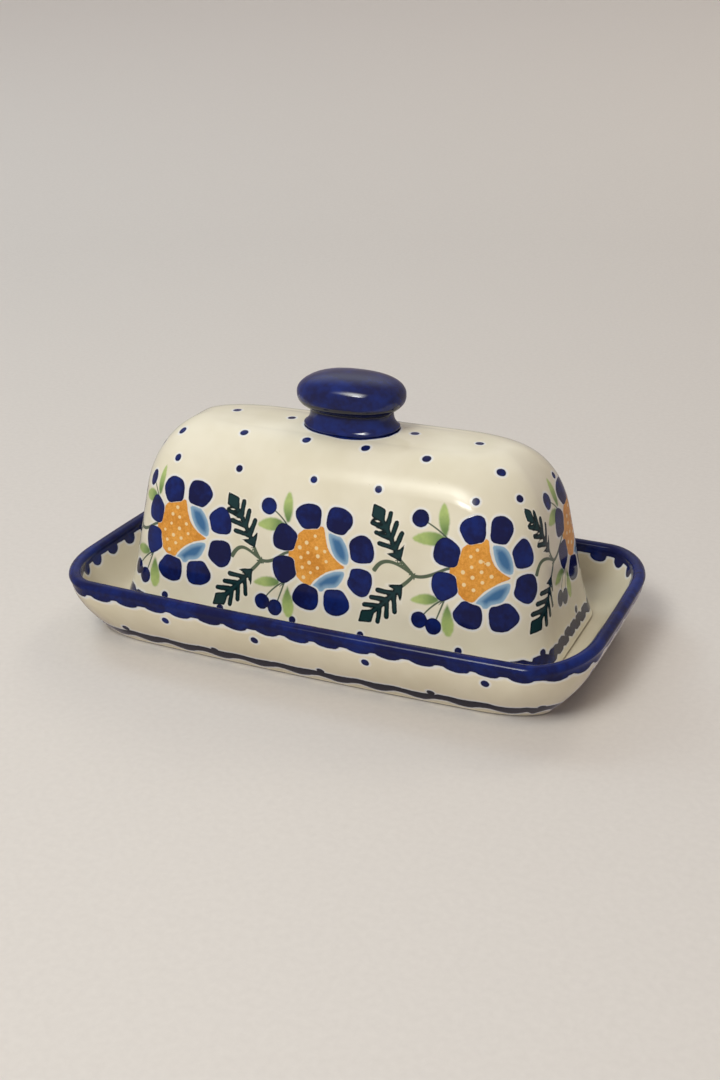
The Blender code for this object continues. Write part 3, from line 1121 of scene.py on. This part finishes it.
def finish_glaze(glaze, sockets, colour, relief=0.0):
    """Gloss with the faint dimpling of a fired glaze, and the painted colour a hair proud."""
    glaze.feed(sockets["Base Color"], colour)
    glaze.feed(sockets["Roughness"], glaze.ramp(glaze.noise(55), 0.3, 0.7, 0.075, low=0.04))
    dimple = glaze.times(glaze.noise(160), 0.25)
    bump = glaze.node("ShaderNodeBump")
    bump.inputs["Strength"].default_value = 0.5
    bump.inputs["Distance"].default_value = 0.06 * MM
    glaze.feed(bump.inputs["Height"], glaze.add(dimple, relief))
    glaze.feed(sockets["Normal"], bump.outputs[0])
    return glaze.owner


def make_wobble(glaze):
    """A small shift of every painted edge, in millimetres, so that none is ruled."""
    return glaze.times(glaze.subtract(glaze.noise(330, 2.0, 0.6), 0.5), 0.5)


def painted_field(glaze, name, wobble):
    return glaze.add(glaze.field(name), wobble)


def cobalt_field(glaze, wobble, dot):
    """Distance in millimetres from the nearest cobalt, the dots of this radius among it."""
    dots = glaze.times(glaze.subtract(glaze.dots("dots", 1.7), 1.0), dot)
    return glaze.add(glaze.least(glaze.field("cobalt"), dots), wobble)


def uneven_height(glaze, unevenness):
    """The height above the table, in metres, with slow wavering."""
    waver = glaze.times(glaze.noise(260, 2.0, 0.6), unevenness)
    return glaze.add(glaze.parts(glaze.place())[2], waver)


def leaf_colour(glaze):
    tone = glaze.blend(LEAF_FOOT, LEAF_TIP, glaze.field("leaf_tip"), 0.1, 0.75)
    return glaze.blend(tone, LEAF_GRAIN, glaze.noise(500, 2.0, 0.6), 0.35, 0.75, 0.4)


def ochre_colour(glaze):
    grain = glaze.times(glaze.noise(1100, 3.0, 0.7), 0.55)
    patch = glaze.times(glaze.noise(120), 0.45)
    tone = glaze.blend(OCHRE, OCHRE_BRIGHT, glaze.add(grain, patch), 0.34, 0.66)
    return glaze.blend(tone, OCHRE_SPECK, glaze.dots("specks", 1.3), 1.12, 0.8)


def make_lid_glaze():
    glaze, sockets = start_glaze("lid_glaze_painted", 0.30)
    wobble = make_wobble(glaze)
    cobalt = cobalt_field(glaze, wobble, LID_DOT)
    fern, leaf, sky, ochre = (
        painted_field(glaze, name, wobble) for name in ("fern", "leaf", "sky", "ochre")
    )
    stem = glaze.thin_strokes("stems")
    flower = glaze.add(glaze.least(sky, ochre), 0.3)
    edge = glaze.least(cobalt, flower)
    colour = halo(glaze, edge, cream_body(glaze, CREAM, CREAM_DEEP))
    colour = glaze.blend(colour, HALO_WHITE, fern, 0.8, 0.2, 0.45)
    colour = glaze.blend(colour, leaf_colour(glaze), leaf, 0.2, -0.75, 0.92)
    colour = glaze.blend(colour, STEM, stem, 0.12, -0.18, 0.95)
    fern_tone = glaze.blend(FERN_THICK, FERN, fern, -0.75, -0.1)
    colour = glaze.blend(colour, fern_tone, fern, 0.12, -0.12)
    sky_tone = glaze.blend(SKY_EDGE, SKY_THICK, sky, -0.2, -2.0)
    colour = glaze.blend(colour, sky_tone, sky, 0.2, -0.25)
    colour = glaze.blend(colour, ochre_colour(glaze), ochre, 0.14, -0.14)
    colour = glaze.blend(colour, edged_cobalt(glaze, cobalt), cobalt, 0.1, -0.1)
    height = uneven_height(glaze, 0.6 * MM)
    colour = glaze.blend(colour, RAW_EDGE, height, LID_FOOT + 0.9 * MM, LID_FOOT + 0.3 * MM)
    relief = glaze.ramp(glaze.least(cobalt, fern), 0.2, -0.3)
    return finish_glaze(glaze, sockets, colour, relief)


def make_tray_glaze():
    glaze, sockets = start_glaze("tray_glaze_painted", 0.24)
    cobalt = cobalt_field(glaze, make_wobble(glaze), TRAY_DOT)
    cream = cream_body(glaze, TRAY_CREAM, TRAY_CREAM_DEEP)
    # Painted shade: the cream darkens down the inside of the tray, away from the rim.
    cream = glaze.blend(cream, TRAY_CREAM_PAINTED_SHADE, glaze.field("inner_drop"), 1.0, 12.0, 0.6)
    level = glaze.parts(glaze.place())[2]
    # Painted shade: the cobalt darkens to near black in its lowest 8 mm, next to the table.
    blue = glaze.blend(edged_cobalt(glaze, cobalt), COBALT_PAINTED_SHADE, level, 8 * MM, 6 * MM)
    colour = glaze.blend(halo(glaze, cobalt, cream), blue, cobalt, 0.1, -0.1)
    clay = glaze.mix(glaze.noise(300, 3.0, 0.6), RAW_CLAY, RAW_EDGE)
    height = uneven_height(glaze, 0.3 * MM)
    # A thin near-black line round the foot, just above the raw clay: the foot's dark edge, with a
    # painted contact shadow.
    colour = glaze.blend(colour, FOOT_EDGE_AND_SHADOW, height, 0.62 * MM, 0.45 * MM)
    colour = glaze.blend(colour, clay, height, 0.35 * MM, 0.2 * MM)
    return finish_glaze(glaze, sockets, colour, glaze.ramp(cobalt, 0.2, -0.3))


def make_knob_glaze():
    glaze, sockets = start_glaze("knob_glaze_cobalt", 0.5)
    above_crease = glaze.field("above_crease")
    under_head = glaze.ramp(above_crease, 5.6, 4.2)
    # Painted shade: the cobalt darkens to near black under the head and round its crease with the
    # neck.
    painted_shade = glaze.times(glaze.ramp(above_crease, -1.6, 0.2, 0.95), under_head)
    return finish_glaze(glaze, sockets, glaze.mix(painted_shade, cobalt_colour(glaze), COBALT_PAINTED_SHADE))


# Studio.

CAMERA_AZIMUTH = math.radians(24.83)
CAMERA_ELEVATION = math.radians(23.18)
CAMERA_ROLL = math.radians(-1.01)
CAMERA_AWAY = 493.68 * MM
CAMERA_LENS = 46.54
AIM_HEIGHT = 35.0 * MM
AIM_RIGHT = 2.01 * MM
AIM_UP = -2.15 * MM
STAGE_COUNT = 96
PAPER_DARK = (0.63, 0.598, 0.577)
PAPER_LIGHT = (0.70, 0.668, 0.645)
# A lighter paper for the painted light on the far sweep.
PAPER_FAR_PAINTED_LIGHT = (0.83, 0.79, 0.755)
SOFT_EDGES = (0.45, 0.45, 0.65)
WINDOW_EDGES = (0.45, 0.04, 0.65)
PANE_EDGES = (0.05, 0.05, 0.05)


def direction(azimuth, elevation):
    """Outwards from the dish. Azimuth 0 is in front of it, and a quarter turn at its right."""
    level = math.cos(elevation)
    return Vector((math.sin(azimuth) * level, -math.cos(azimuth) * level, math.sin(elevation)))


def make_camera():
    back = direction(CAMERA_AZIMUTH, CAMERA_ELEVATION)
    right = Vector((math.cos(CAMERA_AZIMUTH), math.sin(CAMERA_AZIMUTH), 0))
    up = back.cross(right)
    aim = Vector((0, 0, AIM_HEIGHT)) + right * AIM_RIGHT + up * AIM_UP
    level = Matrix((right, up, back)).transposed()
    roll = Matrix.Rotation(CAMERA_ROLL, 3, "Z")
    data = bpy.data.cameras.new("camera")
    data.lens = CAMERA_LENS
    data.sensor_width = 36
    camera = bpy.data.objects.new("camera", data)
    camera.matrix_world = Matrix.Translation(aim + back * CAMERA_AWAY) @ (level @ roll).to_4x4()
    bpy.context.scene.collection.objects.link(camera)
    bpy.context.scene.camera = camera


def make_paper():
    """Pale grained paper, painted a little lighter where it sweeps up far behind, as painted light
    on the backdrop.
    """
    paper, sockets = start_material("floor_paper")
    sockets["Roughness"].default_value = 0.75
    tone = paper.mix(paper.noise(450, 3.0), PAPER_DARK, PAPER_LIGHT)
    away = paper.node("ShaderNodeVectorMath", operation="LENGTH")
    paper.feed(away.inputs[0], paper.place())
    # Painted light: the paper lightens between 0.7 m and 2 m away.
    far = paper.ramp(away.outputs["Value"], 0.7, 2.0, kind="LINEAR")
    paper.feed(sockets["Base Color"], paper.mix(far, tone, PAPER_FAR_PAINTED_LIGHT))
    return paper.owner


def make_stage():
    """A pale floor that sweeps up into a wall all round. The glaze mirrors the dimmer studio."""
    inner, bend, top = 0.6, 2.6, 2.9
    profile = [(radius, 0.0) for radius in (0.2, 0.4, inner)]
    for turn in np.linspace(0, math.pi / 2, 25)[1:]:
        profile.append((inner + bend * math.sin(turn), bend * (1 - math.cos(turn))))
    profile.append((inner + bend, top))
    angle = np.arange(STAGE_COUNT) * 2 * math.pi / STAGE_COUNT
    points = [(0.0, 0.0, 0.0)]
    for radius, height in profile:
        points += [(radius * math.cos(a), radius * math.sin(a), height) for a in angle]
    faces = [(0, 1 + i, 1 + (i + 1) % STAGE_COUNT) for i in range(STAGE_COUNT)]
    for row in range(len(profile) - 1):
        low = 1 + row * STAGE_COUNT
        high = low + STAGE_COUNT
        for i in range(STAGE_COUNT):
            after = (i + 1) % STAGE_COUNT
            faces.append((low + i, high + i, high + after, low + after))
    mesh = bpy.data.meshes.new("floor")
    mesh.from_pydata(points, [], faces)
    mesh.shade_smooth()
    mesh.materials.append(make_paper())
    floor = bpy.data.objects.new("floor", mesh)
    floor.location.z = -0.05 * MM
    floor.visible_glossy = False
    bpy.context.scene.collection.objects.link(floor)


def soften_edges(data, side, lower, upper):
    """Fades a softbox over these shares of its size at its sides, lower edge and upper edge."""
    box = Shading(data)
    across, upward, _ = box.parts(box.node("ShaderNodeNewGeometry").outputs["Parametric"])
    edges = ((across, 0, side), (across, 1, 1 - side), (upward, 0, lower), (upward, 1, 1 - upper))
    strength = 1.0
    for place, start, end in edges:
        strength = box.times(box.ramp(place, start, end), strength)
    box.feed(box.tree.nodes["Emission"].inputs["Strength"], strength)


def add_light(name, place, size, power, colour, edges=SOFT_EDGES, glossy=True):
    """A softbox that faces the dish, at a place (azimuth, elevation, distance)."""
    azimuth, elevation, away = place
    data = bpy.data.lights.new(name, "AREA")
    data.shape = "RECTANGLE"
    data.size, data.size_y = size
    data.energy = power
    data.color = colour
    soften_edges(data, *edges)
    light = bpy.data.objects.new(name, data)
    light.visible_glossy = glossy
    back = direction(math.radians(azimuth), math.radians(elevation))
    light.location = back * away + Vector((0, 0, 0.05))
    light.rotation_mode = "QUATERNION"
    light.rotation_quaternion = back.to_track_quat("Z", "Y")
    bpy.context.scene.collection.objects.link(light)


def make_lights():
    warm = (1.0, 0.95, 0.78)
    cool = (0.80, 0.95, 1.0)
    add_light("left_softbox", (-115, 45, 1.5), (0.9, 0.7), 17, cool, glossy=False)
    add_light("back_softbox", (170, 45, 1.6), (0.9, 0.6), 16, warm, glossy=False)
    add_light("sky_softbox", (-150, 46, 1.7), (2.4, 2.0), 8.5, (0.88, 0.96, 1.0))
    add_light("front_softbox", (-12, 53, 1.3), (0.95, 0.75), 32, (1.0, 1.0, 0.91))
    add_light("front_window", (-6, 42, 1.15), (0.66, 0.18), 3.6, (1.0, 1.0, 0.95), WINDOW_EDGES)
    add_light("front_pane", (-4, 42, 1.15), (0.26, 0.10), 1.1, (1.0, 1.0, 0.97), PANE_EDGES)
    world = bpy.data.worlds.new("studio")
    world.use_nodes = True
    background = world.node_tree.nodes["Background"]
    background.inputs["Color"].default_value = (1.0, 0.87, 0.87, 1)
    background.inputs["Strength"].default_value = 0.32
    bpy.context.scene.world = world
    bpy.context.scene.view_settings.view_transform = "Standard"


def main():
    make_camera()
    make_stage()
    make_lights()
    tray = make_tray()
    lid = make_lid()
    knob = make_knob(lid)
    tray.data.materials.append(make_tray_glaze())
    lid.data.materials.append(make_lid_glaze())
    knob.data.materials.append(make_knob_glaze())
    for piece, node, body, slot in (
        (tray, "tray", "tray", "tray_glaze"),
        (lid, "lid_shell", "lid", "lid_glaze"),
        (knob, "lid_knob", "lid", "knob_glaze"),
    ):
        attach(piece, body)
        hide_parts(node)


main()
